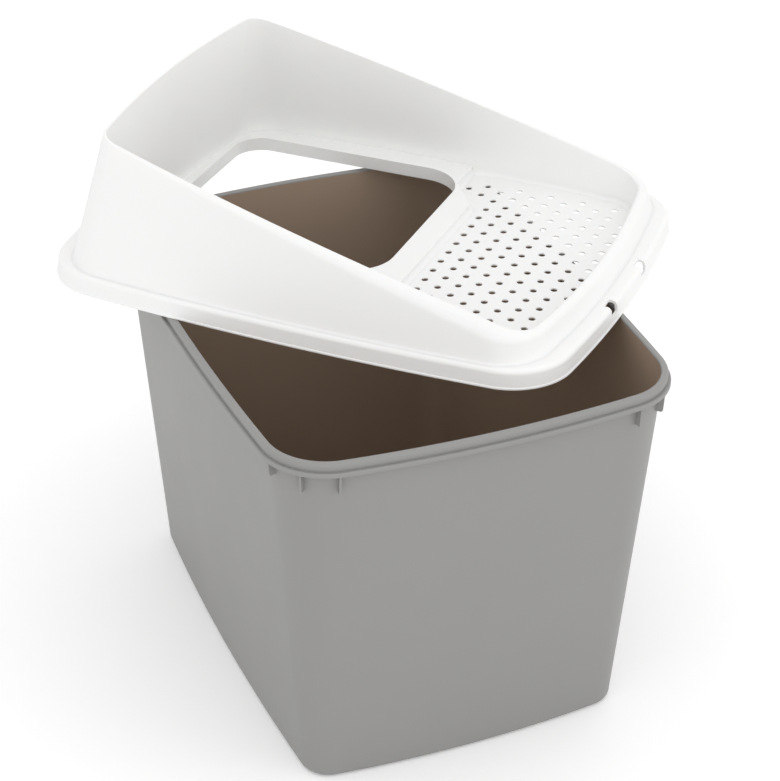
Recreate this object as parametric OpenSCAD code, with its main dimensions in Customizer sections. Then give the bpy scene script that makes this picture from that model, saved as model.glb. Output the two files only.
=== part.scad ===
/* [Tub] */
// Half the width inside the rim
rim_a = 182; // [165:1:200]
// Half the length inside the rim
rim_b = 241.4; // [220:1:265]
// Corner radius inside the rim
rim_r = 50.7; // [48:0.5:60]
// How far the long walls bow out
tub_bow_side = 10.5; // [8:0.5:13]
// How far the short walls bow out
tub_bow_end = 14.6; // [12:0.5:17]
// Height of the tub
tub_h = 351.6; // [250:1:420]
// Wall thickness of the tub
tub_wall = 2.5; // [2:0.1:3.5]
// How far the wall leans in from the rim to the base
tub_draft = 26.7; // [18:0.5:30]
// Radius where the wall meets the base
base_r = 7; // [4:0.5:9]
// Floor thickness
floor_t = 2.5; // [2:0.1:4]
// Recess under the floor, inside the foot ring
foot_h = 1.5; // [0.5:0.1:3]
// Width of the rolled bead on top of the wall
bead_w = 6.3; // [5.8:0.1:7]
// Depth of the bead's outer side
bead_h = 6.6; // [5:0.1:7]
// How far the lower lip stands out past the bead
lip_out = 2.7; // [2:0.1:3.2]
// Depth of the whole rim
rim_h = 13; // [11:0.1:13]
// Height of the gussets under the rim
gusset_h = 14; // [8:1:24]
// Thickness of the gussets
gusset_t = 2; // [1.5:0.1:3]
// Turn from the middle of the long wall to a corner's first gusset
gusset_1 = 26; // [20:1:32]
// Turn to the second gusset
gusset_2 = 50; // [44:1:56]
// Turn to the third gusset
gusset_3 = 76; // [70:1:80]

/* [Lid skirt] */
// Half the width across the bottom of the skirt
skirt_a = 195; // [194.8:0.1:197]
// Half the length across the bottom of the skirt
skirt_b = 254.7; // [254.4:0.1:257]
// Corner radius of the skirt
skirt_r = 59; // [54:0.5:66]
// How far the skirt's long sides bow out
skirt_bow_side = 12.4; // [11:0.1:14]
// How far the skirt's short sides bow out
skirt_bow_end = 16.7; // [15:0.1:18]
// Height of the skirt up to the top of the flange
skirt_h = 18; // [17:0.5:20]
// Thickness of the lid
lid_t = 2.5; // [2.5:0.1:2.8]
// How far the skirt flares out towards the bottom
skirt_flare = 2; // [1:0.1:2.5]
// Radius of the shoulder between skirt and flange
shoulder_r = 5; // [4:0.5:6]
// Distance of each window from the middle of the low end
window_x = 40.5; // [25:0.5:70]
// Width of a window
window_w = 13; // [8:0.5:20]
// How far a window reaches in over the flange
window_in = 10.5; // [8:0.5:12]
// How far a window reaches down the skirt
window_deep = 10; // [7:0.5:12]
// How far a hook stands in from the skirt
hook_in = 2.6; // [2.2:0.1:2.8]

/* [Fence] */
// Half the width at the foot of the fence
fence_a = 187; // [186:0.5:188]
// Half the length at the foot of the fence
fence_b = 237; // [233:0.5:240]
// Corner radius at the foot of the fence
fence_r = 46; // [42:0.5:52]
// Corner radius at the tall end's top
fence_top_r = 21; // [18:0.5:26]
// How far the fence's long sides bow out
fence_bow_side = 10.5; // [9:0.5:12]
// How far the fence's short ends bow out
fence_bow_end = 18; // [15:0.5:20]
// Lean of the long sides, mm per mm of height
lean_side = 0.22; // [0.16:0.01:0.24]
// Lean of the ends, mm per mm of height
lean_end = 0.28; // [0.22:0.01:0.28]
// Height of the fence's top at the middle
crest_mid = 93.8; // [88:0.2:98]
// Rise of the fence's top, mm per mm along the lid
crest_slope = 0.245; // [0.22:0.005:0.26]
// Rounding of the fence's outer top edge at the middle
crest_r = 6.5; // [5:0.1:7.5]
// How fast that rounding grows towards the low end
crest_r_slope = 0.026; // [0.01:0.001:0.028]
// How much less the top is rounded along the low end
low_trim = 4.6; // [0:0.1:5]
// Skin thickness of the fence
skin = 2.5; // [2:0.1:3]
// Half the width between the inner skins
inner_a = 164; // [160:0.5:166]
// Place of the inner skin at the tall end
inner_high = 205; // [202:0.5:206]
// Place of the inner skin at the low end
inner_low = -222; // [-224:0.5:-216]
// Corner radius of the inner skin
inner_r = 36; // [30:0.5:44]
// How far the inner skin's long sides bow out
inner_bow_side = 9; // [7:0.5:11]
// How far the inner skin's ends bow out
inner_bow_end = 12; // [9:0.5:14]

/* [Deck and tread] */
// Far edge of the cat's opening at its low end
hole_low_a = 142; // [120:1:146]
// Far edge of the cat's opening at its high end
hole_high_a = 137; // [110:1:140]
// Near edge of the opening, beside the wide ledge
hole_near = -80; // [-135:1:-60]
// Low edge of the opening
hole_low = -41.5; // [-45:0.5:-20]
// High edge of the opening
hole_high = 193; // [170:0.5:194]
// Corner radius of the opening at its low end
hole_r = 40; // [25:0.5:50]
// Corner radius of the opening at its high end
hole_high_r = 28; // [20:0.5:50]
// Depth of the lip turned down round the opening
lip_h = 13; // [8:0.5:14]
// Edge of the beam towards the tread
beam_edge = -66; // [-80:0.5:-62]
// Half the length of the beam's edge
beam_a = 86; // [70:0.5:92]
// Half the width where the beam's slanted ends meet the ledge
beam_out = 124; // [110:0.5:130]
// Radius of the beam's corners
beam_r = 20; // [6:0.5:24]
// Edge of the ledge beside the beam
pocket_edge = -38; // [-39:0.5:-30]
// Height of the tread's top at its edges
tread_z = 11.3; // [9:0.1:12]
// Rise of the tread's middle
tread_crown = 1.8; // [0.5:0.1:2.5]
// Thickness of the tread's floor
tread_t = 2.5; // [2:0.1:3]
// Diameter of the holes
drain_d = 6.4; // [4:0.1:8]
// Half the sideways pitch of the holes
drain_px = 9.36; // [8:0.01:10]
// Pitch of the rows of holes
drain_py = 16; // [14:0.1:16]
// Place of the first row of holes
drain_y0 = -207.4; // [-209:0.1:-205]

/* [Where the lid lies] */
// Turn of the lid on the tub
lid_turn = 43.9; // [0:0.1:50]
// Sideways place of the lid on the tub
lid_x = 23.7; // [0:0.1:30]
// Lengthwise place of the lid on the tub
lid_y = 87.9; // [0:0.1:95]
// Gap left where the skirt lies on the rim
rest_gap = 0.2; // [0.1:0.1:0.5]

/* [Hidden] */
arc_fn = 480;
turn_fn = 96;
floor_top = foot_h + floor_t;

// A bowed rectangle is four long arcs joined by four corner arcs, all tangent.
// shape = [half width, half length, corner radius, side bow, end bow]
function long_r(b, bow) = (b * b + bow * bow) / (2 * bow);
function side_r(q) = long_r(q[1], q[3]);
function end_r(q) = long_r(q[0], q[4]);
function side_c(q) = [q[0] - side_r(q), 0];
function end_c(q) = [0, q[1] - end_r(q)];
function meet(p, dp, q, dq) =
    let (v = q - p, d = norm(v), u = (dp * dp - dq * dq + d * d) / (2 * d))
    let (h = sqrt(dp * dp - u * u), e = v / d)
    p + u * e + h * [-e[1], e[0]];
function corner_c(q) = meet(side_c(q), side_r(q) - q[2], end_c(q), end_r(q) - q[2]);
function side_turn(q) = let (c = corner_c(q), s = side_c(q)) atan2(c[1] - s[1], c[0] - s[0]);
function end_turn(q) = let (c = corner_c(q), s = end_c(q)) atan2(c[1] - s[1], c[0] - s[0]);
function polar(c, r, t) = c + r * [cos(t), sin(t)];

// The flat shape inside the outline, moved out by g
module flat(q, g) {
    c = corner_c(q);
    a = polar(side_c(q), side_r(q) + g, side_turn(q));
    b = polar(end_c(q), end_r(q) + g, end_turn(q));
    far = q[0] + q[1];
    for (mx = [-1, 1], my = [-1, 1])
        translate([mx * c[0], my * c[1]]) circle(q[2] + g, $fn = turn_fn);
    intersection() {
        square([far, 2 * a[1]], center = true);
        translate(side_c(q)) circle(side_r(q) + g, $fn = arc_fn);
        translate(-side_c(q)) circle(side_r(q) + g, $fn = arc_fn);
    }
    intersection() {
        square([2 * b[0], far], center = true);
        translate(end_c(q)) circle(end_r(q) + g, $fn = arc_fn);
        translate(-end_c(q)) circle(end_r(q) + g, $fn = arc_fn);
    }
}

module plate(z0, z1) translate([0, 0, z0]) linear_extrude(z1 - z0) children();

// Points round a quarter of a bowed rectangle, each with its outward normal
side_n = 5;
turn_n = 12;
end_n = 4;
quarter_n = side_n + turn_n + end_n;
ring_n = 4 * quarter_n;
function mark(c, r, t) = let (p = polar(c, r, t)) [p[0], p[1], cos(t), sin(t)];
function quarter(q) =
    let (c = corner_c(q), s = side_turn(q), e = end_turn(q))
    concat(
        [for (k = [0:side_n - 1]) mark(side_c(q), side_r(q), s * k / side_n)],
        [for (k = [0:turn_n]) mark(c, q[2], s + (e - s) * k / turn_n)],
        [for (k = [end_n - 1:-1:0]) mark(end_c(q), end_r(q), 90 - (90 - e) * k / end_n)]);
function flip(p, sx, sy) = [sx * p[0], sy * p[1], sx * p[2], sy * p[3]];
// The whole ring, by mirroring the first quarter
function ring(q) =
    let (a = quarter(q), n = quarter_n)
    [for (k = [0:ring_n - 1])
        k <= n ? a[k]
        : k <= 2 * n ? flip(a[2 * n - k], -1, 1)
        : k <= 3 * n ? flip(a[k - 2 * n], -1, -1)
        : flip(a[4 * n - k], 1, -1)];
// A point of ring mark p, moved in by d, at height z
function inset(p, d, z) = [p[0] - d * p[2], p[1] - d * p[3], z];
// One row of points for each [out, height] of a section
function rows_of(marks, section) = [for (v = section) [for (p = marks) inset(p, -v[0], v[1])]];

// A surface through rows of points, closed on itself or capped at both ends
module loft(rows, capped) {
    n = len(rows[0]);
    m = len(rows);
    polyhedron(
        [for (row = rows) each row],
        concat(
            [for (j = [0:capped ? m - 2 : m - 1], k = [0:n - 1], h = [0, 1])
                let (a = j * n, b = ((j + 1) % m) * n, k2 = (k + 1) % n)
                h == 0 ? [a + k, b + k2, a + k2] : [a + k, b + k, b + k2]],
            capped ? [[for (k = [0:n - 1]) k], [for (k = [n - 1:-1:0]) (m - 1) * n + k]] : []));
}

// Points of a rounded corner, from turn t0 to t1
function turn_pts(c, r, t0, t1, n) = [for (k = [0:n]) polar(c, r, t0 + (t1 - t0) * k / n)];

rim = [rim_a, rim_b, rim_r, tub_bow_side, tub_bow_end];
skirt = [skirt_a, skirt_b, skirt_r, skirt_bow_side, skirt_bow_end];
// Place of the wall's inner face at height z, measured out from the rim's outline
function wall_s(z) = -tub_draft * (tub_h - z) / tub_h;
wall_lean = atan2(tub_draft, tub_h);
base_band = 12;

function wall_section() =
    let (foot = wall_s(0) + tub_wall, low = tub_h - rim_h, lip_top = tub_h - bead_h - 1)
    let (bead_in = bead_w - 1.7, lip_in = bead_w + lip_out - 2, out = bead_w + lip_out)
    let (fillet = base_r - tub_wall, in_edge = wall_s(0) - base_band - base_r)
    concat(
        [[in_edge, foot_h], [in_edge, 0]],
        turn_pts([foot + base_r * tan(wall_lean) - base_r, base_r], base_r, -90, 0, 5),
        [[wall_s(low) + tub_wall, low],
         [wall_s(tub_h - tub_wall) + tub_wall, tub_h - tub_wall],
         [bead_in, tub_h - tub_wall],
         [bead_in, lip_top - 2],
         [lip_in, lip_top - 2],
         [lip_in, low],
         [out, low],
         [out, lip_top - 1],
         [out - 1, lip_top],
         [bead_w - 0.4, lip_top],
         [bead_w - 0.4, tub_h - bead_h]],
        turn_pts([bead_w - 2.2, tub_h - 2.2], 2.2, 0, 90, 3),
        turn_pts([1.8, tub_h - 1.8], 1.8, 90, 180, 3),
        [[wall_s(floor_top + fillet), floor_top + fillet]],
        turn_pts([wall_s(floor_top) - fillet, floor_top + fillet], fillet, -20, -90, 3),
        [[in_edge, floor_top]]);

module gusset(t) {
    c = corner_c(rim);
    reach = bead_w + lip_out - 1.4;
    foot = wall_s(tub_h - rim_h) + tub_wall - 0.6;
    translate([c[0], c[1], tub_h - rim_h + 1])
        rotate([90, 0, t])
            translate([rim_r, 0, -gusset_t / 2])
                linear_extrude(gusset_t)
                    polygon([[foot, 0], [reach, 0], [reach, -1.5], [foot - gusset_h / 13, -gusset_h]]);
}

module tub() color("gray") {
    loft(rows_of(ring(rim), wall_section()), true);
    for (k = [0, 1], m = [0, 1], t = [gusset_1, gusset_2, gusset_3])
        rotate([0, 0, 180 * k]) mirror([m, 0, 0]) gusset(t);
}

fence_z0 = skirt_h;
fence_top_z = crest_mid + crest_slope * fence_b * 0.85;
fence_rise = fence_top_z - fence_z0;
fence_foot_q = [fence_a, fence_b, fence_r, fence_bow_side, fence_bow_end];
fence_top_q = [fence_a - lean_side * fence_rise, fence_b - lean_end * fence_rise, fence_top_r,
               fence_bow_side - 1.5, fence_bow_end - 5];
module laid() translate([lid_x, lid_y, tub_h + rest_gap]) rotate([0, 0, lid_turn]) children();

// Skirt, shoulder and flange; the flange ends under the fence's skin
function skirt_rows() =
    let (marks = ring(skirt), foot = ring(fence_foot_q), sh = -skirt_flare - shoulder_r)
    let (outer = concat([[-lid_t, 0], [0, 0], [0, 1.6], [-0.7, 2.2]],
                        turn_pts([sh, skirt_h - shoulder_r], shoulder_r, 0, 90, 6)))
    let (under = turn_pts([sh, skirt_h - shoulder_r], shoulder_r - lid_t, 90, 0, 4))
    concat(rows_of(marks, outer), rows_of(foot, [[-skin, skirt_h], [-skin, skirt_h - lid_t]]),
           rows_of(marks, under));

module hook(x)
    translate([x - window_w / 2 + 1.5, 0, 0])
        rotate([90, 0, 90])
            linear_extrude(window_w - 3)
                polygon([[-skirt_b + lid_t - 1.2, 0.3], [-skirt_b + lid_t + 0.6, 0.3],
                         [-skirt_b + lid_t + hook_in, 1.4],
                         [-skirt_b + lid_t + hook_in, 2.2], [-skirt_b + lid_t - 0.2, 2.2]]);

module lid_skirt() color("white") laid() {
    difference() {
        loft(skirt_rows(), false);
        for (s = [-1, 1])
            translate([s * window_x - window_w / 2, -skirt_b - 1, skirt_h - window_deep])
                cube([window_w, window_in + 1, window_deep + 2]);
    }
    for (s = [-1, 1]) hook(s * window_x);
}

function lerp(a, b, t) = a + (b - a) * t;

inner_mid = (inner_high + inner_low) / 2;
inner_q = [inner_a, (inner_high - inner_low) / 2, inner_r, inner_bow_side, inner_bow_end];
foot_ring = ring(fence_foot_q);
top_ring = ring(fence_top_q);
inner_ring = [for (p = ring(inner_q)) [p[0], p[1] + inner_mid, p[2], p[3]]];

// The fence's outer face is straight from the foot ring to the top ring.
function face(k, z) = lerp(foot_ring[k], top_ring[k], (z - fence_z0) / fence_rise);
function crest_z(k) =
    let (f = foot_ring[k][1], t = top_ring[k][1])
    fence_z0 + fence_rise * (crest_mid + crest_slope * f - fence_z0) / (fence_rise - crest_slope * (t - f));
function crest_round(p) = max(1, crest_r - crest_r_slope * p[1] - low_trim * pow(max(0, -p[3]), 2));
// The closed section of the hollow fence at the k-th place round it
function fence_section(k) =
    let (zt = crest_z(k), pt = face(k, zt), r = crest_round(pt), w = max(skin + 0.1, r + 0.4))
    let (foot = foot_ring[k], low = inner_ring[k], edge = inset(pt, w, zt))
    let (gap0 = (foot[0] - low[0]) * foot[2] + (foot[1] - low[1]) * foot[3])
    let (need = 2 * skin + 1.2, drop = w >= need ? 0 : (need - w) / max(need - w, gap0 - w) * (zt - fence_z0))
    let (zc = zt - skin - drop, t = (zt - zc) / (zt - fence_z0), room = lerp(w, gap0, t) - 2 * skin)
    let (rc = min(max(0.2, r - skin), 0.6 * room))
    let (under = lerp(inset(pt, w - skin, zt), inset(low, -skin, fence_z0), t))
    concat(
        [inset(foot, 0, fence_z0)],
        [for (f = [0:22.5:90]) let (z = zt - r + r * sin(f)) inset(face(k, z), r * (1 - cos(f)), z)],
        [edge - [0, 0, 0.3], inset(low, 0, fence_z0), inset(low, -skin, fence_z0)],
        [[under[0], under[1], zc]],
        [for (f = [90:-30:0]) let (z = zc - rc + rc * sin(f)) inset(face(k, z), skin + rc * (1 - cos(f)), z)],
        [inset(foot, skin, fence_z0)]);

module fence() color("white") laid() {
    cuts = [for (k = [0:ring_n - 1]) fence_section(k)];
    loft([for (j = [0:len(cuts[0]) - 1]) [for (c = cuts) c[j]]], false);
}

// The cat's opening, moved out by g: four equal corners and straight sides between them
module opening(g) {
    low = [hole_low_a - hole_r, hole_low + hole_r];
    high = [hole_high_a - hole_high_r, hole_high - hole_high_r];
    near = [hole_near + hole_r, low[1]];
    back = [hole_near + hole_high_r, high[1]];
    v = high - low;
    t = asin((hole_r - hole_high_r) / norm(v)) + atan2(v[1], v[0]) - 90;
    r = hole_r + g;
    q = hole_high_r + g;
    for (p = [low, near]) translate(p) circle(r, $fn = turn_fn);
    for (p = [high, back]) translate(p) circle(q, $fn = turn_fn);
    polygon([low, polar(low, r, t), polar(high, q, t), high, high + [0, q], back + [0, q],
             back, back - [q, 0], near - [r, 0], near, near - [0, r], low - [0, r]]);
}

module inner_flat(g) translate([0, inner_mid]) flat(inner_q, g);

// Everything on the cat's side of the beam, moved back by g
module deck_side(g) {
    far = 2 * fence_b;
    turn = atan2(pocket_edge - beam_edge, beam_out - beam_a);
    slope = [cos(turn), sin(turn)];
    v = [beam_a, beam_edge] + g * [-tan(turn / 2), 1];
    r = beam_r - g;
    c = v + [-r * tan(turn / 2), r];
    end = v + slope * (pocket_edge - beam_edge + 1) / slope[1];
    translate([-far, pocket_edge + g]) square([2 * far, far]);
    for (s = [0, 1])
        mirror([s, 0]) {
            translate(c) circle(r, $fn = turn_fn);
            polygon([[-1, v[1]], [c[0], v[1]], c, polar(c, r, turn - 90), end, [-1, end[1]]]);
        }
}

module deck() color("white") laid() {
    plate(skirt_h - lid_t, skirt_h)
        difference() {
            intersection() {
                inner_flat(skin);
                deck_side(0);
            }
            opening(0);
        }
    plate(skirt_h - lip_h, skirt_h)
        difference() {
            opening(lid_t);
            opening(0);
        }
    plate(tread_z - tread_t - 0.5, skirt_h)
        difference() {
            intersection() {
                inner_flat(skin);
                deck_side(0);
            }
            deck_side(lid_t);
            opening(0);
        }
}

tread_mid = (beam_edge + inner_low) / 2;
tread_half = (beam_edge - inner_low) / 2;
crown_r = long_r(tread_half, tread_crown);

module drains() {
    rows = floor((beam_edge - drain_y0 - drain_d) / drain_py);
    for (k = [0:rows]) {
        y = drain_y0 + drain_py * k;
        odd = k % 2;
        reach = k == 0 ? inner_a - 50 : inner_a - 22;
        for (i = [0:ceil(reach / drain_px)]) {
            x = drain_px * i;
            if (i % 2 == odd && x < reach)
                for (s = i == 0 ? [1] : [-1, 1])
                    translate([s * x, y]) circle(d = drain_d, $fn = 24);
        }
    }
    // Holes in the two pockets beside the beam
    for (s = [-1, 1], v = [[13, 9], [15, 9], [14, 10]])
        translate([s * drain_px * v[0], drain_y0 + drain_py * v[1]]) circle(d = drain_d, $fn = 24);
}

module tread() color("white") laid() {
    intersection() {
        plate(tread_z - 2 * tread_t, tread_z + tread_t)
            difference() {
                inner_flat(skin);
                deck_side(0);
                drains();
            }
        translate([0, tread_mid, tread_z + tread_crown - crown_r])
            rotate([0, 90, 0])
                difference() {
                    cylinder(r = crown_r, h = 3 * inner_a, center = true, $fn = arc_fn * 2);
                    cylinder(r = crown_r - tread_t, h = 4 * inner_a, center = true, $fn = arc_fn * 2);
                }
    }
    plate(tread_z - tread_t, skirt_h)
        difference() {
            inner_flat(skin);
            inner_flat(0);
            deck_side(0);
        }
}

tub();
lid_skirt();
fence();
deck();
tread();
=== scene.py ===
import math

import bmesh
import bpy
import numpy as np
from mathutils import Matrix, Vector


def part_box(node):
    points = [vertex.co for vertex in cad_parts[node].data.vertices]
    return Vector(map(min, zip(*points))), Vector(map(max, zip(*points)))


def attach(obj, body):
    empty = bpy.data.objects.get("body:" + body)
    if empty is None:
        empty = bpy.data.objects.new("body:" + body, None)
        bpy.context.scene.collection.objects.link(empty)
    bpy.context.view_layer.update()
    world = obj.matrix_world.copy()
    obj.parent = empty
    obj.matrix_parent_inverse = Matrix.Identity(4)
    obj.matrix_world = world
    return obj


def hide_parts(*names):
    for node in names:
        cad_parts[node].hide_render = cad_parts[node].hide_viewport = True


mm = 0.001
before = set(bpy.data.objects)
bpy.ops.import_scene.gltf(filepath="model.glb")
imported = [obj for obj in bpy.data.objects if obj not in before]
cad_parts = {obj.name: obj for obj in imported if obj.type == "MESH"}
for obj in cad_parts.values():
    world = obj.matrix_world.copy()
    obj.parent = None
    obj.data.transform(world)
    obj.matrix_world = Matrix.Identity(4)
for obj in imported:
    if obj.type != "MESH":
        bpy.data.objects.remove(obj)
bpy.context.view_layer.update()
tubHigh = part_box("tub")[1].z / mm
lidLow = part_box("lid_skirt")[0].z / mm
bpy.context.scene.view_settings.view_transform = "Standard"
print("stage: frame loaded")


# Radius of an arc with half its chord and its bow given
def longRadius(half, bow):
    return (half * half + bow * bow) / (2 * bow)


# A bowed rectangle as points with outward normals, from the middle of the +x side.
# a and b are half the width and length, r the corner radius, bowA and bowB the bows
# of the sides and ends, and counts the steps on a half side, a corner and a half end.
def outline(a, b, r, bowA, bowB, counts, mid=0.0):
    ra, rb = longRadius(b, bowA), longRadius(a, bowB)
    p, q = np.array([a - ra, 0.0]), np.array([0.0, b - rb])
    v = q - p
    d = np.linalg.norm(v)
    e = v / d
    dp, dq = ra - r, rb - r
    u = (dp * dp - dq * dq + d * d) / (2 * d)
    c = p + u * e + math.sqrt(dp * dp - u * u) * np.array([-e[1], e[0]])
    s = math.atan2(c[1] - p[1], c[0] - p[0])
    t = math.atan2(c[1] - q[1], c[0] - q[0])
    ns, nt, ne = counts
    rows = []
    for k in range(ns):
        w = s * k / ns
        rows.append([p[0] + ra * math.cos(w), ra * math.sin(w), math.cos(w), math.sin(w)])
    for k in range(nt + 1):
        w = s + (t - s) * k / nt
        rows.append([c[0] + r * math.cos(w), c[1] + r * math.sin(w), math.cos(w), math.sin(w)])
    for k in range(ne - 1, -1, -1):
        w = math.pi / 2 - (math.pi / 2 - t) * k / ne
        rows.append([rb * math.cos(w), q[1] + rb * math.sin(w), math.cos(w), math.sin(w)])
    one = np.array(rows)
    n = len(one) - 1
    ahead, back = one[:n], one[:0:-1]
    ring = np.concatenate([ahead, back * [-1, 1, -1, 1], -ahead, back * [1, -1, 1, -1]])
    ring[:, 1] += mid
    return ring


# Evenly spread angles from a0 to a1 degrees, given back in radians
def angles(a0, a1, n):
    return np.radians(np.linspace(a0, a1, n))


# Points of an arc in n steps
def arc(cx, cy, r, a0, a1, n):
    return [(cx + r * math.cos(w), cy + r * math.sin(w)) for w in angles(a0, a1, n + 1)]


# Rings of points: the section's x runs outwards from the outline
def sweep(ring, section):
    x, y, nx, ny = ring.T
    return [np.column_stack([x + s * nx, y + s * ny, np.full(len(ring), z)]) for s, z in section]


# A ring moved inwards by d and set at height z
def inset(ring, d, z):
    d = np.broadcast_to(d, len(ring))
    x, y, nx, ny = ring.T
    return np.column_stack([x - d * nx, y - d * ny, np.broadcast_to(z, len(ring))])


# Vertices and quads over rings of equal length, the last joined to the first
def skin(rings):
    n = len(rings[0])
    faces = []
    for j in range(len(rings)):
        a, b = j * n, ((j + 1) % len(rings)) * n
        for k in range(n):
            k2 = (k + 1) % n
            faces.append((a + k, b + k, b + k2, a + k2))
    return np.concatenate(rings), faces


# Vertices and faces over a row of closed sections, capped at both ends
def loft(rows):
    m, last = len(rows[0]), len(rows) - 1
    faces = [tuple(range(m)), tuple(last * m + j for j in range(m))]
    for a in range(last):
        for j in range(m):
            k = (j + 1) % m
            faces.append((a * m + j, a * m + k, a * m + m + k, a * m + m + j))
    return [q for row in rows for q in row], faces


# Several lofts as one list of vertices and faces
def gather(solids):
    verts, faces = [], []
    for solidVerts, solidFaces in solids:
        start = len(verts)
        verts += solidVerts
        faces += [tuple(start + k for k in face) for face in solidFaces]
    return verts, faces


def upright(pts, z0, z1):
    return loft([[(x, y, z) for x, y in pts] for z in (z0, z1)])


# The lid lies crosswise on the tub, turned in degrees and moved in mm
lidPlace = {"turn": 43.9, "x": 23.7, "y": 87.9}


def lidMatrix():
    spot = Matrix.Translation((lidPlace["x"] * mm, lidPlace["y"] * mm, lidLow * mm))
    return spot @ Matrix.Rotation(math.radians(lidPlace["turn"]), 4, "Z")


def finishShading(obj, smooth):
    for poly in obj.data.polygons:
        poly.use_smooth = True
    obj.data.set_sharp_from_angle(angle=math.radians(smooth))


def addMesh(name, verts, faces, body, smooth=30):
    mesh = bpy.data.meshes.new(name)
    mesh.from_pydata([tuple(float(c) * mm for c in v) for v in verts], [], [tuple(f) for f in faces])
    mesh.validate()
    bm = bmesh.new()
    bm.from_mesh(mesh)
    bmesh.ops.remove_doubles(bm, verts=bm.verts, dist=1e-6)
    bmesh.ops.recalc_face_normals(bm, faces=bm.faces)
    bm.to_mesh(mesh)
    bm.free()
    obj = bpy.data.objects.new(name, mesh)
    bpy.context.scene.collection.objects.link(obj)
    if body == "lid":
        mesh.transform(lidMatrix())
    finishShading(obj, smooth)
    return obj


def prism(pts, z0, z1):
    return addMesh("prism", *upright(pts, z0, z1), "lid")


# Joins the others to the first solid, cuts them out of it or keeps what they share
def combine(first, others, mode):
    for other in others:
        mod = first.modifiers.new("combine", "BOOLEAN")
        mod.operation = mode
        mod.solver = "EXACT"
        mod.object = other
    graph = bpy.context.evaluated_depsgraph_get()
    mesh = bpy.data.meshes.new_from_object(first.evaluated_get(graph))
    first.modifiers.clear()
    first.data = mesh
    for other in others:
        bpy.data.objects.remove(other)
    return first


# Materials: two moulded plastics, and a darker, warmer copy of the tub plastic that paints shade, and the
# warm light coming through the thin wall, onto the tub's inside
plasticLook = {"broad": 9, "broadDetail": 3, "grainDetail": 4, "grainHigh": 0.0002, "ior": 1.49,
               "sssScale": 0.003, "sssRadius": (1.0, 0.9, 0.75)}
lidLook = {"grain": 900, "bump": 0.12, "rough": (0.34, 0.44), "spec": 0.45, "sss": 0.15,
           "colour": (0.905, 0.905, 0.895), "colour2": (0.891, 0.891, 0.882)}
tubLook = {"grain": 700, "bump": 0.15, "rough": (0.36, 0.46), "spec": 0.4, "sss": 0.0,
           "colour": (0.296, 0.293, 0.285), "colour2": (0.286, 0.283, 0.275)}
# The tub plastic with painted shade: darker and warmer, standing in for the shaded inside lit through its
# translucent wall
insideShadeLook = dict(tubLook, colour=(0.37, 0.28, 0.212), colour2=(0.353, 0.267, 0.202))


def makePlastic(name, look):
    mat = bpy.data.materials.new(name)
    mat.use_nodes = True
    nodes, links = mat.node_tree.nodes, mat.node_tree.links
    bsdf = nodes["Principled BSDF"]
    coords = nodes.new("ShaderNodeTexCoord")
    grain = nodes.new("ShaderNodeTexNoise")
    grain.inputs["Scale"].default_value = look["grain"]
    grain.inputs["Detail"].default_value = plasticLook["grainDetail"]
    broad = nodes.new("ShaderNodeTexNoise")
    broad.inputs["Scale"].default_value = plasticLook["broad"]
    broad.inputs["Detail"].default_value = plasticLook["broadDetail"]
    links.new(coords.outputs["Object"], grain.inputs["Vector"])
    links.new(coords.outputs["Object"], broad.inputs["Vector"])
    bump = nodes.new("ShaderNodeBump")
    bump.inputs["Strength"].default_value = look["bump"]
    bump.inputs["Distance"].default_value = plasticLook["grainHigh"]
    links.new(grain.outputs["Fac"], bump.inputs["Height"])
    links.new(bump.outputs["Normal"], bsdf.inputs["Normal"])
    rough = nodes.new("ShaderNodeMapRange")
    rough.inputs["To Min"].default_value = look["rough"][0]
    rough.inputs["To Max"].default_value = look["rough"][1]
    links.new(broad.outputs["Fac"], rough.inputs["Value"])
    links.new(rough.outputs["Result"], bsdf.inputs["Roughness"])
    tint = nodes.new("ShaderNodeMix")
    tint.data_type = "RGBA"
    tint.inputs["A"].default_value = (*look["colour"], 1)
    tint.inputs["B"].default_value = (*look["colour2"], 1)
    links.new(broad.outputs["Fac"], tint.inputs["Factor"])
    links.new(tint.outputs["Result"], bsdf.inputs["Base Color"])
    bsdf.inputs["IOR"].default_value = plasticLook["ior"]
    bsdf.inputs["Specular IOR Level"].default_value = look["spec"]
    bsdf.inputs["Subsurface Weight"].default_value = look["sss"]
    bsdf.inputs["Subsurface Radius"].default_value = plasticLook["sssRadius"]
    bsdf.inputs["Subsurface Scale"].default_value = plasticLook["sssScale"]
    return mat


lidPlastic = makePlastic("lidPlastic", lidLook)
tubPlastic = makePlastic("tubPlastic", tubLook)
tubInsideShade = makePlastic("tubInsideShade", insideShadeLook)
print("stage: materials")

# Tub: the wall slopes in by its draft from the rim down to the floor
tubSizes = {"a": 182.0, "b": 241.4, "r": 50.7, "bowA": 10.5, "bowB": 14.6, "wall": 2.5, "draft": 26.7,
            "baseR": 7.0, "baseOut": 0.53, "plateIn": 12.0, "floor": 4.0, "foot": 1.5,
            "bead": 6.3, "beadH": 6.6, "beadWall": 1.7, "beadOutR": 2.4, "beadInR": 1.9,
            "groove": 0.4, "grooveH": 1.0, "shelf": 0.3, "shelfDrop": 0.1,
            "lip": 2.7, "lipWall": 2.0, "lipHollow": 2.0, "lipTopR": 1.3, "lipLowR": 0.6, "rimH": 11.8,
            "insideLow": 3.0, "insideTop": 1.8, "floorZone": 20.0}
tubCounts = (14, 24, 12)


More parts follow.
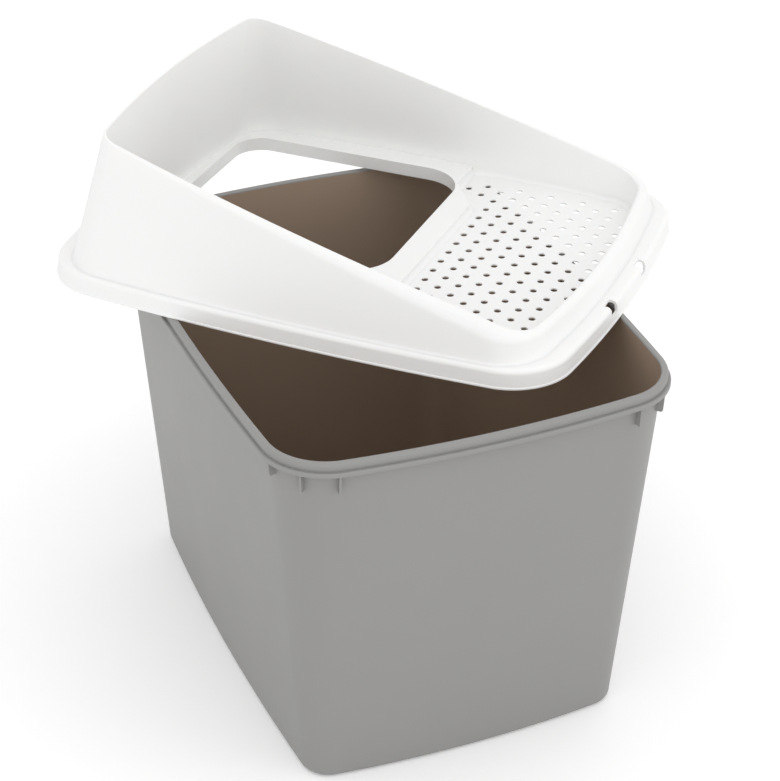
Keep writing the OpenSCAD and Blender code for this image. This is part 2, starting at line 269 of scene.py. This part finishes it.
# The tub's wall, rim and foot as one section, from the floor plate round to it again
def tubSection(g, top):
    def wall(z):
        return -g["draft"] * (top - z) / top
    w, bead, base, groove = g["wall"], g["bead"], g["baseR"], g["groove"]
    lipTop = top - g["beadH"] - g["grooveH"]
    lipOut = bead + g["lip"]
    lipIn = lipOut - g["lipWall"]
    low = top - g["rimH"]
    plate = wall(0) - g["plateIn"] - base
    fillet = base - w
    beadR, innerR, topR, lowR = g["beadOutR"], g["beadInR"], g["lipTopR"], g["lipLowR"]
    beadIn, hollow = bead - g["beadWall"], lipTop - g["lipHollow"]
    out = [(plate, 0), (wall(0) + w - g["plateIn"], 0)]
    out += arc(wall(0) + w + g["baseOut"] - base, base, base, -90, 0, 10)
    out += [(wall(low) + w, low), (wall(top - w) + w, top - w), (beadIn, top - w), (beadIn, hollow)]
    out += [(lipIn, hollow), (lipIn, low + groove), (lipIn + groove, low)]
    out += arc(lipOut - lowR, low + lowR, lowR, -90, 0, 3)
    out += arc(lipOut - topR, lipTop - topR, topR, 0, 90, 5)
    out += [(bead + g["shelf"], lipTop), (bead - groove, lipTop + g["shelfDrop"])]
    out += [(bead - groove, lipTop + g["grooveH"])]
    out += arc(bead - groove, lipTop + g["grooveH"] + groove, groove, -90, 0, 2)
    out += arc(bead - beadR, top - beadR, beadR, 0, 90, 7)
    out += arc(innerR, top - innerR, innerR, 90, 180, 7)
    out += [(wall(g["floor"] + fillet), g["floor"] + fillet)]
    out += arc(wall(g["floor"]) - fillet, g["floor"] + fillet, fillet, -12, -90, 8)
    return out + [(plate, g["floor"])], plate


# Faces that look inwards, and the floor, which get the painted shade of the tub's inside
def paintedShadeFaces(poly):
    g, n, c = tubSizes, poly.normal, poly.center
    if not g["insideLow"] * mm < c.z < (tubHigh - g["insideTop"]) * mm:
        return False
    inwards = c.x * n.x + c.y * n.y < -0.05 * c.xy.length
    return inwards or (c.z < g["floorZone"] * mm and n.z > 0.5)


def buildTub():
    g = tubSizes
    ring = outline(g["a"], g["b"], g["r"], g["bowA"], g["bowB"], tubCounts)
    section, plate = tubSection(g, tubHigh)
    rings = sweep(ring, section)
    verts, faces = skin(rings)
    n = len(ring)
    # The last and first rings bound the floor plate, which is hollow from below
    faces = faces[:-n]
    top = (len(rings) - 1) * n
    faces.append(tuple(top + k for k in range(n)))
    start = len(verts)
    verts = np.concatenate([verts, sweep(ring, [(plate, g["foot"])])[0]])
    for k in range(n):
        k2 = (k + 1) % n
        faces.append((k, k2, start + k2, start + k))
    faces.append(tuple(start + k for k in range(n)))
    obj = addMesh("tubShell", verts, faces, "tub", 35)
    obj.data.materials.append(tubPlastic)
    obj.data.materials.append(tubInsideShade)
    # Inward faces and the floor take the copy with painted shade
    for poly in obj.data.polygons:
        if paintedShadeFaces(poly):
            poly.material_index = 1
    return obj


# Gussets under the lip, three round each corner: place in degrees and height
gussetSizes = {"at": ((15, 14.5), (47.5, 19.0), (80.5, 19.0)), "half": 1.0, "reach": 7.4, "tip": 6.4,
               "cut": 1.0, "foot": 0.9, "sink": 1.1, "bite": 1.0, "steps": 100}


def buildGussets():
    g, t = gussetSizes, tubSizes
    ring = outline(t["a"], t["b"], t["r"], t["bowA"], t["bowB"], (1, g["steps"], 1))
    corner = ring[:g["steps"] + 3]
    top = tubHigh - t["rimH"] + g["bite"]
    solids = []
    for turn, tall in g["at"]:
        best = min(corner, key=lambda p: abs(math.degrees(math.atan2(p[3], p[2])) - turn))
        end = top - tall
        section = [(g["foot"], top), (g["reach"], top), (g["tip"], end + g["cut"])]
        section += [(g["tip"] - g["cut"], end), (-g["sink"], end)]
        for sx, sy in ((1, 1), (1, -1), (-1, 1), (-1, -1)):
            x, y, nx, ny = best[0] * sx, best[1] * sy, best[2] * sx, best[3] * sy
            solids.append(loft([[(x + nx * s - ny * h, y + ny * s + nx * h, z) for s, z in section]
                                for h in (-g["half"], g["half"])]))
    obj = addMesh("tubGussets", *gather(solids), "tub")
    obj.data.materials.append(tubPlastic)
    return obj


tubShell = buildTub()
tubGussets = buildGussets()
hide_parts("tub")
for piece in (tubShell, tubGussets):
    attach(piece, "tub")
print("stage: tub")

# Skirt, and the two outlines of the fence that stands on it
skirtSizes = {"a": 195.0, "b": 254.7, "r": 59.0, "bowA": 12.4, "bowB": 16.7, "tall": 18.0, "thick": 2.5,
              "flare": 2.0, "round": 5.0, "hem": 0.3, "hemR": 0.5,
              "faceLow": (-0.75, 2.35), "face": (-0.85, 3.0)}
fenceSizes = {"foot": (187.0, 237.0, 46.0, 10.5, 18.0), "mid": 93.8, "slope": 0.245, "topAt": 0.85,
              "leanA": 0.22, "leanB": 0.28, "topR": 21.0, "flatA": 1.5, "flatB": 5.0,
              "round": 6.5, "roundSlope": 0.026, "lowTrim": 4.6, "lowSoft": 0.3, "lowEdge": 2.0,
              "flat": 0.4, "edge": 0.9, "skin": 2.5, "gap": 1.2, "gapR": 0.2, "gapShare": 0.6, "fillet": 2.2}
innerSizes = {"a": 164.0, "low": -222.0, "high": 205.0, "r": 36.0, "bowA": 9.0, "bowB": 12.0}
innerMid = (innerSizes["high"] + innerSizes["low"]) / 2
lidCounts = (14, 22, 12)


def innerRing():
    g = innerSizes
    return outline(g["a"], (g["high"] - g["low"]) / 2, g["r"], g["bowA"], g["bowB"], lidCounts, innerMid)


# Fence: outlines at its foot and top, and its sloped crest place by place.
# The rounding of the crest is trimmed and softened towards the low end.
def fenceForm():
    g, base = fenceSizes, skirtSizes["tall"]
    a, b, r, bowA, bowB = g["foot"]
    rise = g["mid"] + g["slope"] * b * g["topAt"] - base
    foot = outline(a, b, r, bowA, bowB, lidCounts)
    topA, topB = a - g["leanA"] * rise, b - g["leanB"] * rise
    top = outline(topA, topB, g["topR"], bowA - g["flatA"], bowB - g["flatB"], lidCounts)
    above = g["mid"] + g["slope"] * foot[:, 1] - base
    crest = base + rise * (above / (rise - g["slope"] * (top[:, 1] - foot[:, 1])))
    form = {"foot": foot, "top": top, "rise": rise, "crest": crest, "inner": innerRing()}
    form["at"] = fenceFace(form, form["crest"])
    lowEnd = np.maximum(0.0, -foot[:, 3]) ** 2
    full = np.maximum(1.0, g["round"] - g["roundSlope"] * form["at"][:, 1] - g["lowTrim"] * lowEnd)
    form["land"] = np.maximum(g["skin"] + 0.1, full + g["flat"])
    form["round"] = full * (1 - g["lowSoft"] * lowEnd)
    form["edge"] = np.minimum(g["edge"] + g["lowEdge"] * lowEnd, form["land"] - form["round"])
    return form


# The fence's leaning outer face at height z
def fenceFace(form, z):
    share = (np.broadcast_to(z, len(form["foot"])) - skirtSizes["tall"]) / form["rise"]
    return form["foot"] + (form["top"] - form["foot"]) * share[:, None]


# Up the outside from a hollow fillet, over the crest and down the inside
def fenceOutside(form):
    base, f = skirtSizes["tall"], fenceSizes["fillet"]
    crest, land, r, edge = form["crest"], form["land"], form["round"], form["edge"]
    rings = []
    for w in angles(90, 0, 5):
        z = base + f * (1 - math.sin(w))
        rings.append(inset(fenceFace(form, z), -f * (1 - math.cos(w)), z))
    for w in angles(0, 90, 10):
        z = crest - r + r * math.sin(w)
        rings.append(inset(fenceFace(form, z), r * (1 - math.cos(w)), z))
    for w in angles(90, 0, 4):
        side, z = land - edge + edge * math.cos(w), crest - edge + edge * math.sin(w)
        rings.append(inset(form["at"], side, z))
    return rings + [inset(form["inner"], 0.0, base)]


# Up between the two skins and down again; where the crest is too narrow, the hollow ends lower
def fenceHollow(form):
    g, base, s = fenceSizes, skirtSizes["tall"], fenceSizes["skin"]
    foot, inner, crest, land = form["foot"], form["inner"], form["crest"], form["land"]
    need = 2 * s + g["gap"]
    apart = np.einsum("ij,ij->i", foot[:, :2] - inner[:, :2], foot[:, 2:])
    tight = np.maximum(np.maximum(need - land, 1e-6), apart - land)
    drop = np.where(land >= need, 0.0, (need - land) / tight) * (crest - base)
    high = crest - s - drop
    share = (crest - high) / (crest - base)
    room = land + (apart - land) * share - 2 * s
    r = np.minimum(np.maximum(g["gapR"], form["round"] - s), g["gapShare"] * room)
    under = inset(form["at"], land - s, crest)
    under += (inset(inner, -s, base) - under) * share[:, None]
    under[:, 2] = high
    rings = [inset(inner, -s, base), under]
    for w in angles(90, 0, 5):
        z = high - r + r * math.sin(w)
        rings.append(inset(fenceFace(form, z), s + r * (1 - math.cos(w)), z))
    return rings + [inset(foot, s, base)]


def buildFence():
    form = fenceForm()
    obj = addMesh("fenceShell", *skin(fenceOutside(form) + fenceHollow(form)), "lid", 38)
    obj.data.materials.append(lidPlastic)
    return obj


fenceShell = buildFence()
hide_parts("fence")
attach(fenceShell, "lid")
print("stage: fence")

# Two windows in the skirt's low end, each with a snap hook below it
windowSizes = {"x": 40.5, "wide": 13.0, "inward": 10.5, "deep": 10.0, "cornerR": 1.2,
               "out": 2.0, "above": 3.0}
hookSizes = {"half": 5.0, "low": 0.4, "nose": 1.4, "high": 2.2, "root": 1.0, "toe": 0.6,
             "reach": 2.6, "back": 0.3}


# Up the outside from the hem, over the flange to the fence, and back underneath
def buildSkirt():
    g, w = skirtSizes, windowSizes
    marks = outline(g["a"], g["b"], g["r"], g["bowA"], g["bowB"], lidCounts)
    foot = outline(*fenceSizes["foot"], lidCounts)
    t, r, top, s = g["thick"], g["round"], g["tall"], fenceSizes["skin"]
    hem, hemR, shoulder = g["hem"], g["hemR"], -g["flare"] - r
    outer = [(-t, hem), (-t + hem, 0.0)] + arc(-hemR, hemR, hemR, -90, 0, 3)
    outer += arc(-hemR, 3 * hemR, hemR, 0, 70, 3)
    outer += [g["faceLow"], g["face"]] + arc(shoulder, top - r, r, 0, 90, 9)
    middle = [(1.0, top), (-s + hem, top), (-s, top - t)]
    under = arc(shoulder, top - r, r - t, 90, 0, 6)
    rings = sweep(marks, outer) + sweep(foot, middle) + sweep(marks, under)
    obj = addMesh("skirtShell", *skin(rings), "lid", 38)
    for side in (-1, 1):
        obj = combine(obj, [windowBlock(side * w["x"])], "DIFFERENCE")
    finishShading(obj, 38)
    obj.data.materials.append(lidPlastic)
    return obj


# A block with two rounded upright corners where a window goes
def windowBlock(x):
    g, w = skirtSizes, windowSizes
    half, r = w["wide"] / 2, w["cornerR"]
    y0, y1 = -g["b"] - w["out"], -g["b"] + w["inward"]
    pts = [(x - half, y0), (x + half, y0)] + arc(x + half - r, y1 - r, r, 0, 90, 4)
    pts += arc(x - half + r, y1 - r, r, 90, 180, 4)
    return prism(pts, g["tall"] - w["deep"], g["tall"] + w["above"])


def buildHooks():
    g, h = skirtSizes, hookSizes
    y = -g["b"] + g["thick"]
    section = [(y - h["root"], h["low"]), (y + h["toe"], h["low"]), (y + h["reach"], h["nose"]),
               (y + h["reach"], h["high"]), (y - h["back"], h["high"])]
    solids = []
    for x in (-windowSizes["x"], windowSizes["x"]):
        solids.append(loft([[(x + d, sy, sz) for sy, sz in section] for d in (-h["half"], h["half"])]))
    obj = addMesh("skirtHooks", *gather(solids), "lid")
    obj.data.materials.append(lidPlastic)
    return obj


skirtShell = buildSkirt()
skirtHooks = buildHooks()
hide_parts("lid_skirt")
print("stage: skirt")

# Deck: ledge, beam, the step down to the tread and the lip round the opening
deckSizes = {"lowA": 142.0, "highA": 137.0, "near": -80.0, "low": -41.5, "high": 193.0,
             "r": 40.0, "highR": 28.0, "lip": 13.0, "thick": 2.5,
             "edge": -66.0, "beamA": 86.0, "beamOut": 124.0, "beamR": 20.0, "pocket": -38.0, "nook": 9.0,
             "under": 2.6, "hollow": 6.0, "clear": 5.0, "intoFence": 2.2, "overlap": 0.3,
             "soft": 1.1, "softSteps": 3, "softFrom": 40, "foot": 5.6, "footSink": 0.6}
treadSizes = {"z": 11.3, "crown": 1.8, "thick": 2.5, "sheet": 1.3, "over": 2.0, "rows": 25, "rowStep": 8,
              "intoWall": 0.6, "wall": 2.4, "wallEnd": 18.0, "sink": 0.6, "fillet": 4.0}
drainSizes = {"wide": 6.4, "px": 9.36, "py": 16.0, "y0": -207.4, "rows": 9, "margin": 22, "firstMargin": 50,
              "columns": 20, "pocket": ((13, 9), (15, 9), (14, 10)), "sides": 28, "high": 25}


# The cat's opening as a closed run of points, anticlockwise from its low far corner
def openingPts(grow):
    g, n = deckSizes, 16
    r, q = g["r"], g["highR"]
    low = np.array([g["lowA"] - r, g["low"] + r])
    high = np.array([g["highA"] - q, g["high"] - q])
    v = high - low
    t = math.degrees(math.asin((r - q) / np.linalg.norm(v)) + math.atan2(v[1], v[0])) - 90
    pts = arc(low[0], low[1], r + grow, -90, t, n) + arc(high[0], high[1], q + grow, t, 90, n)
    pts += arc(g["near"] + q, high[1], q + grow, 90, 180, n)
    return pts + arc(g["near"] + r, low[1], r + grow, 180, 270, n)


# The deck's edge towards the tread, from the left wall to the right, moved back by a wall
def deckEdge(back, reach):
    g = deckSizes
    rise = g["pocket"] - g["edge"]
    turn = math.atan2(rise, g["beamOut"] - g["beamA"])
    deg, half = math.degrees(turn), math.tan(turn / 2)
    x, y = g["beamA"] - back * half, g["edge"] + back
    r, f = g["beamR"] - back, g["nook"] + back
    endX, endY = x + rise / math.tan(turn), g["pocket"] + back
    right = arc(x - r * half, y + r, r, -90, deg - 90, 8)
    right += arc(endX + f * half, endY - f, f, 90 + deg, 90, 6) + [(reach, endY)]
    return [(-px, py) for px, py in reversed(right)] + right


# Everything on the cat's side of the deck's edge, as far as inside the fence's skin
def deckPlan(back):
    g = deckSizes
    pts = [(x + g["intoFence"] * nx, y + g["intoFence"] * ny) for x, y, nx, ny in innerRing()]
    keep = [q for q in pts if q[0] >= 0 and q[1] > g["pocket"] + back + 1]
    half = sorted(keep, key=lambda q: math.atan2(q[1] - innerMid, q[0]))
    left = [(-x, y) for x, y in reversed(half) if x > 1e-6]
    return deckEdge(back, half[0][0] + g["overlap"]) + half + left


def softenEdges(obj):
    mod = obj.modifiers.new("soften", "BEVEL")
    mod.width = deckSizes["soft"] * mm
    mod.segments = deckSizes["softSteps"]
    mod.limit_method = "ANGLE"
    mod.angle_limit = math.radians(deckSizes["softFrom"])
    mod.harden_normals = True


def buildDeck():
    g, top, floor = deckSizes, skirtSizes["tall"], treadSizes["z"]
    body = prism(deckPlan(0.0), floor - g["under"], top)
    body = combine(body, [prism(deckPlan(g["thick"]), floor - g["hollow"], top - g["thick"])], "DIFFERENCE")
    body = combine(body, [prism(openingPts(g["thick"]), top - g["lip"], top)], "UNION")
    hole = prism(openingPts(0.0), top - g["lip"] - g["clear"], top + g["clear"])
    body = combine(body, [hole], "DIFFERENCE")
    body.name = "deckShell"
    finishShading(body, 30)
    softenEdges(body)
    body.data.materials.append(lidPlastic)
    return body


deckShell = buildDeck()
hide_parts("deck")
print("stage: deck")


# Tread: middles of the drain holes in their staggered grid and in the pockets beside the beam
def drainSpots():
    g = drainSizes
    spots = []
    for k in range(g["rows"]):
        reach = innerSizes["a"] - (g["firstMargin"] if k == 0 else g["margin"])
        for i in range(k % 2, g["columns"], 2):
            if g["px"] * i < reach:
                sides = (1,) if i == 0 else (-1, 1)
                spots += [(s * g["px"] * i, g["y0"] + g["py"] * k) for s in sides]
    for s in (-1, 1):
        spots += [(s * g["px"] * i, g["y0"] + g["py"] * k) for i, k in g["pocket"]]
    return spots


def drainDrills():
    g = drainSizes
    turns = [2 * math.pi * k / g["sides"] for k in range(g["sides"])]
    solids = []
    for x, y in drainSpots():
        ring = [(x + g["wide"] / 2 * math.cos(w), y + g["wide"] / 2 * math.sin(w)) for w in turns]
        solids.append(upright(ring, 0, g["high"]))
    return addMesh("drills", *gather(solids), "lid")


# Height of the crowned floor
def crownZ(y):
    g = treadSizes
    mid = (deckSizes["edge"] + innerSizes["low"]) / 2
    half = (deckSizes["edge"] - innerSizes["low"]) / 2
    return g["z"] + g["crown"] * (1 - ((y - mid) / half) ** 2)


def buildTread():
    g = treadSizes
    x = innerSizes["a"] + g["over"]
    rows = []
    for k in range(g["rows"]):
        y = innerSizes["low"] - g["over"] + g["rowStep"] * k
        z = crownZ(y)
        rows.append([(-x, y, z), (x, y, z), (x, y, z - g["sheet"]), (-x, y, z - g["sheet"])])
    floor = addMesh("treadFloor", *loft(rows), "lid")
    plan = [(px + g["intoWall"] * nx, py + g["intoWall"] * ny) for px, py, nx, ny in innerRing()]
    floor = combine(floor, [prism(plan, 0, 30)], "INTERSECT")
    floor = combine(floor, [drainDrills(), prism(deckPlan(g["intoWall"]), -5, 40)], "DIFFERENCE")
    floor.name = "treadFloor"
    finishShading(floor, 25)
    floor.data.materials.append(lidPlastic)
    return floor


# The wall from the tread up to the fence, with a fillet at its foot
def buildTreadWall():
    g, top = treadSizes, skirtSizes["tall"]
    part = [p for p in innerRing() if p[1] < deckSizes["pocket"] + g["wallEnd"]]
    part.sort(key=lambda p: math.atan2(p[0], innerMid - p[1]))
    f = g["fillet"]
    rows = []
    for x, y, nx, ny in part:
        base = crownZ(y)
        section = [(-f + f * math.cos(w), base + f - f * math.sin(w)) for w in angles(0, 90, 6)]
        section = [(0.0, top)] + section + [(-f, base - g["sink"])]
        section += [(g["wall"], base - g["thick"]), (g["wall"], top)]
        rows.append([(x + s * nx, y + s * ny, z) for s, z in section])
    obj = addMesh("treadWall", *loft(rows), "lid", 35)
    obj.data.materials.append(lidPlastic)
    return obj


# The hollow rounding between the beam's side and the tread
def buildFoot():
    f, sink = deckSizes["foot"], deckSizes["footSink"]
    path = np.array(deckEdge(0.0, innerSizes["a"] + 1))
    step = np.gradient(path, axis=0)
    step /= np.linalg.norm(step, axis=1)[:, None]
    rows = []
    for (x, y), (tx, ty) in zip(path, step):
        base = crownZ(y)
        section = [(f - f * math.cos(w), base + f - f * math.sin(w)) for w in angles(0, 90, 7)]
        section += [(f, base - sink), (-sink, base - sink), (-sink, base + f)]
        rows.append([(x + s * ty, y - s * tx, z) for s, z in section])
    obj = addMesh("beamFoot", *loft(rows), "lid", 35)
    obj.data.materials.append(lidPlastic)
    return obj


treadFloor = buildTread()
treadWall = buildTreadWall()
beamFoot = buildFoot()
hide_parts("tread")
for piece in (skirtShell, skirtHooks, deckShell, treadFloor, treadWall, beamFoot):
    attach(piece, "lid")
print("stage: tread")

# White paper under the tub and a white sky round it
stageLook = {"half": 6.0, "drop": 0.0002, "paper": (0.93, 0.93, 0.93, 1), "rough": 0.9, "glow": 0.16,
             "white": 1.0, "sky": 0.96}


# The camera sees the paper lifted to white, and the shadow on it stays
def buildFloor():
    g, r = stageLook, stageLook["half"]
    mesh = bpy.data.meshes.new("floorMesh")
    mesh.from_pydata([(-r, -r, 0), (r, -r, 0), (r, r, 0), (-r, r, 0)], [], [(0, 1, 2, 3)])
    floor = bpy.data.objects.new("floor", mesh)
    bpy.context.scene.collection.objects.link(floor)
    floor.location.z = -g["drop"]
    mat = bpy.data.materials.new("floorPaper")
    mat.use_nodes = True
    nodes, links = mat.node_tree.nodes, mat.node_tree.links
    bsdf = nodes["Principled BSDF"]
    bsdf.inputs["Base Color"].default_value = g["paper"]
    bsdf.inputs["Roughness"].default_value = g["rough"]
    glow = nodes.new("ShaderNodeEmission")
    glow.inputs["Strength"].default_value = g["glow"]
    seen = nodes.new("ShaderNodeLightPath")
    both = nodes.new("ShaderNodeAddShader")
    only = nodes.new("ShaderNodeMixShader")
    links.new(bsdf.outputs["BSDF"], both.inputs[0])
    links.new(glow.outputs["Emission"], both.inputs[1])
    links.new(seen.outputs["Is Camera Ray"], only.inputs["Fac"])
    links.new(bsdf.outputs["BSDF"], only.inputs[1])
    links.new(both.outputs["Shader"], only.inputs[2])
    links.new(only.outputs["Shader"], nodes["Material Output"].inputs["Surface"])
    mesh.materials.append(mat)


# The camera sees plain white, and the pieces are lit by a little less
def buildSky():
    world = bpy.context.scene.world or bpy.data.worlds.new("World")
    bpy.context.scene.world = world
    world.use_nodes = True
    nodes, links = world.node_tree.nodes, world.node_tree.links
    nodes.clear()
    out = nodes.new("ShaderNodeOutputWorld")
    seen = nodes.new("ShaderNodeBackground")
    light = nodes.new("ShaderNodeBackground")
    for back, strength in ((seen, stageLook["white"]), (light, stageLook["sky"])):
        back.inputs["Color"].default_value = (1, 1, 1, 1)
        back.inputs["Strength"].default_value = strength
    path = nodes.new("ShaderNodeLightPath")
    mix = nodes.new("ShaderNodeMixShader")
    links.new(path.outputs["Is Camera Ray"], mix.inputs["Fac"])
    links.new(light.outputs["Background"], mix.inputs[1])
    links.new(seen.outputs["Background"], mix.inputs[2])
    links.new(mix.outputs["Shader"], out.inputs["Surface"])


# Soft lamps: place, aimed-at height over the origin, size and power
lampPlaces = {
    "keyLamp": ((0.2, -0.9, 3.2), 0.3, (2.6, 2.2), 5),
    "frontLamp": ((-0.9, -2.6, 1.5), 0.35, (2.0, 1.6), 6),
    "rightLamp": ((2.2, -2.0, 1.6), 0.35, (1.8, 1.6), 6),
    "leftLamp": ((-2.6, 0.2, 1.6), 0.3, (1.6, 1.6), 0.6),
}


def addLamp(name, spot, aimZ, size, power):
    data = bpy.data.lights.new(name, "AREA")
    data.shape = "RECTANGLE"
    data.size, data.size_y = size
    data.energy = power
    lamp = bpy.data.objects.new(name, data)
    bpy.context.scene.collection.objects.link(lamp)
    lamp.location = spot
    lamp.rotation_euler = (Vector((0, 0, aimZ)) - Vector(spot)).to_track_quat("-Z", "Y").to_euler()


buildFloor()
buildSky()
for lampName, lampPlace in lampPlaces.items():
    addLamp(lampName, *lampPlace)

# Camera as fitted to the photograph: focal length and side in its pixels, angles in radians
cameraFit = {"focal": 2248.3, "side": 781, "sensor": 36, "spot": (-0.6776, -1.6149, 1.3346),
             "yaw": 0.402, "pitch": 0.554, "roll": -0.010}


def addCamera():
    g = cameraFit
    cam = bpy.data.cameras.new("camera")
    cam.sensor_width = g["sensor"]
    cam.sensor_fit = "AUTO"
    cam.lens = g["focal"] * g["sensor"] / g["side"]
    obj = bpy.data.objects.new("camera", cam)
    bpy.context.scene.collection.objects.link(obj)
    yaw, pitch, roll = g["yaw"], g["pitch"], g["roll"]
    ahead = Vector((math.sin(yaw) * math.cos(pitch), math.cos(yaw) * math.cos(pitch), -math.sin(pitch)))
    level = Vector((math.cos(yaw), -math.sin(yaw), 0))
    down = ahead.cross(level)
    right = level * math.cos(roll) + down * math.sin(roll)
    up = level * math.sin(roll) - down * math.cos(roll)
    turn = Matrix((right, up, -ahead)).transposed().to_4x4()
    obj.matrix_world = Matrix.Translation(g["spot"]) @ turn
    bpy.context.scene.camera = obj


addCamera()
print("stage: finish")
